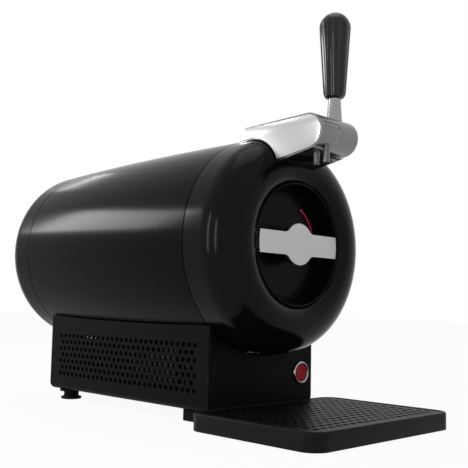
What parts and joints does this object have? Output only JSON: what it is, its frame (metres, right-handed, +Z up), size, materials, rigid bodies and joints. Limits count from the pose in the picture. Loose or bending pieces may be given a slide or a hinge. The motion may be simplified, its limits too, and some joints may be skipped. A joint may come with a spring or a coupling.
{
  "type": "mini keg beer dispenser",
  "caption": "Lying glossy black drum that cools a small keg, with a round front door, a tap arm with an upright pull lever, a ventilated base and a perforated drip tray.",
  "frame": {"origin": "middle of the overall footprint, on the surface that the tray, the plinth and the feet stand on", "axes": "+Z up, -Y towards the user who pours, +Y along the drum to its rear end, +X to the user's right"},
  "size_m": [0.229, 0.5234, 0.416],
  "materials": {
    "shell_black": "high gloss",
    "ring_black": "high gloss",
    "base_black": "satin",
    "tray_black": "satin",
    "grille_black": "satin",
    "dish_black": "semi gloss",
    "handle_silver": "satin",
    "handle_black": "satin",
    "tap_silver": "satin",
    "chrome": "polished",
    "jaw_black": "gloss",
    "grip_black": "high gloss",
    "slot_silver": "polished",
    "nozzle_grey": "gloss",
    "light_red": "glowing",
    "button_red": "gloss, dark",
    "steel": "plain",
    "rubber": "matt",
    "foam": "matt",
    "liner_grey": "matt",
    "cooler_metal": "milled",
    "module_white": "matt",
    "inner_black": "matt",
    "board_green": "lacquered"
  },
  "bodies": {
    "housing": {"drum_shell": "shell_black", "front_bezel": "ring_black", "rear_cap": "shell_black", "bay_liner": "liner_grey", "latch_ring": "inner_black", "insulation_sleeve": "foam", "cold_block": "cooler_metal", "temperature_probe": "steel", "peltier_module": "module_white", "heat_sink": "cooler_metal", "fan_frame": "inner_black", "front_panel": "base_black", "rear_panel": "base_black", "side_panel_left": "base_black", "side_panel_right": "base_black", "base_floor": "base_black", "drum_saddle_front": "inner_black", "drum_saddle_rear": "inner_black", "base_screws": "steel", "control_board": "board_green", "power_supply": "inner_black", "power_inlet": "inner_black", "front_plinth": "base_black", "rear_foot_left": "base_black", "rear_foot_right": "base_black", "foot_pad_left": "rubber", "foot_pad_right": "rubber", "button_bezel": "chrome", "button_housing": "inner_black", "door_hinge_pin": "steel", "tap_jaw": "jaw_black", "tap_hinge_bracket": "steel", "tap_hinge_pin": "steel"},
    "door": {"door_dish": "dish_black", "door_insulation": "foam", "door_gasket": "rubber", "light_guide": "light_red", "door_hinge_leaf": "dish_black"},
    "handle": {"handle_plate": "handle_silver", "handle_body": "handle_black", "handle_spindle": "steel", "latch_bar": "steel"},
    "tap_cover": {"tap_cover": "tap_silver", "side_plate_left": "tap_silver", "side_plate_right": "tap_silver", "spout_nozzle": "nozzle_grey", "spout_guide": "nozzle_grey", "lever_axle": "steel"},
    "lever": {"lever_hub": "chrome", "lever_stem": "chrome", "lever_grip": "grip_black"},
    "release": {"release_button": "slot_silver"},
    "power_button": {"power_button": "button_red"},
    "tray": {"drip_tray": "tray_black"},
    "grille": {"drip_grille": "grille_black"},
    "fan": {"fan_rotor": "inner_black"}
  },
  "joints": [
    {"name": "door_swing", "type": "hinge", "parent": "housing", "child": "door", "pos_m": [-0.0672, -0.1505, 0.1824], "axis": [0, 0, -1], "range_deg": [0, 110]},
    {"name": "handle_turn", "type": "hinge", "parent": "door", "child": "handle", "pos_m": [0, -0.1433, 0.1824], "axis": [0, 1, 0], "range_deg": [0, 90]},
    {"name": "tap_cover_open", "type": "hinge", "parent": "housing", "child": "tap_cover", "pos_m": [-0.01175, -0.0988, 0.3005], "axis": [-1, 0, 0], "range_deg": [0, 35]},
    {"name": "lever_pull", "type": "hinge", "parent": "tap_cover", "child": "lever", "pos_m": [0, -0.1938, 0.2873], "axis": [1, 0, 0], "range_deg": [0, 45]},
    {"name": "release_press", "type": "slide", "parent": "tap_cover", "child": "release", "axis": [0, 1, 0], "range_m": [0, 0.0015], "stiffness_N_per_m": 300, "springref_m": -0.001},
    {"name": "power_press", "type": "slide", "parent": "housing", "child": "power_button", "axis": [0, 1, 0], "range_m": [0, 0.002], "stiffness_N_per_m": 300, "springref_m": -0.001},
    {"name": "tray_slide", "type": "slide", "parent": "housing", "child": "tray", "axis": [0, -1, 0], "range_m": [0, 0.18]},
    {"name": "grille_lift", "type": "slide", "parent": "tray", "child": "grille", "axis": [0, 0, 1], "range_m": [0, 0.045]},
    {"name": "fan_spin", "type": "hinge", "parent": "housing", "child": "fan", "pos_m": [0, 0.0187, 0.022], "axis": [0, 0, 1], "continuous": true}
  ]
}
